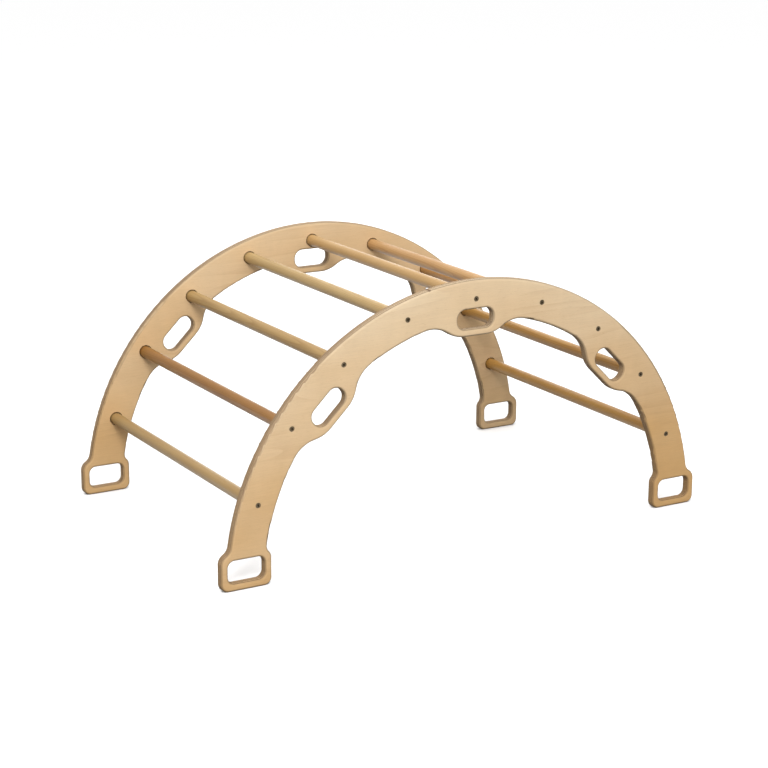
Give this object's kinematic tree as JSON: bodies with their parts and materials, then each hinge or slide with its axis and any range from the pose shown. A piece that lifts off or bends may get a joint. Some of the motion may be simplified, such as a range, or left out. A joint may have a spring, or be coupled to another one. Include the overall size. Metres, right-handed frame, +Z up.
{
  "type": "climbing arch rocker",
  "caption": "Wooden climbing arch for small children: two half-ring plywood sides with hand grips and loop feet, joined by round rungs. Turned over, it rocks like a seesaw.",
  "frame": {"origin": "on the floor, midway between the four feet", "axes": "+X along the arch from its left foot to its right foot, +Y across it from the front panel to the back panel, +Z up"},
  "size_m": [1.015, 0.632, 0.495],
  "materials": {
    "birch_plywood": "clear satin lacquer over birch veneer, dark and light layers on the edges",
    "beech": "turned and sanded, clear satin lacquer",
    "screw_steel": "steel with a dark, dull plating"
  },
  "bodies": {
    "root": {"side_panel_front": "birch_plywood", "side_panel_back": "birch_plywood", "rung_1": "beech", "rung_2": "beech", "rung_3": "beech", "rung_4": "beech", "rung_5": "beech", "rung_6": "beech", "rung_7": "beech", "rung_8": "beech", "rung_9": "beech", "screw_front_1": "screw_steel", "screw_back_1": "screw_steel", "screw_front_2": "screw_steel", "screw_back_2": "screw_steel", "screw_front_3": "screw_steel", "screw_back_3": "screw_steel", "screw_front_4": "screw_steel", "screw_back_4": "screw_steel", "screw_front_5": "screw_steel", "screw_back_5": "screw_steel", "screw_front_6": "screw_steel", "screw_back_6": "screw_steel", "screw_front_7": "screw_steel", "screw_back_7": "screw_steel", "screw_front_8": "screw_steel", "screw_back_8": "screw_steel", "screw_front_9": "screw_steel", "screw_back_9": "screw_steel"}
  },
  "joints": []
}
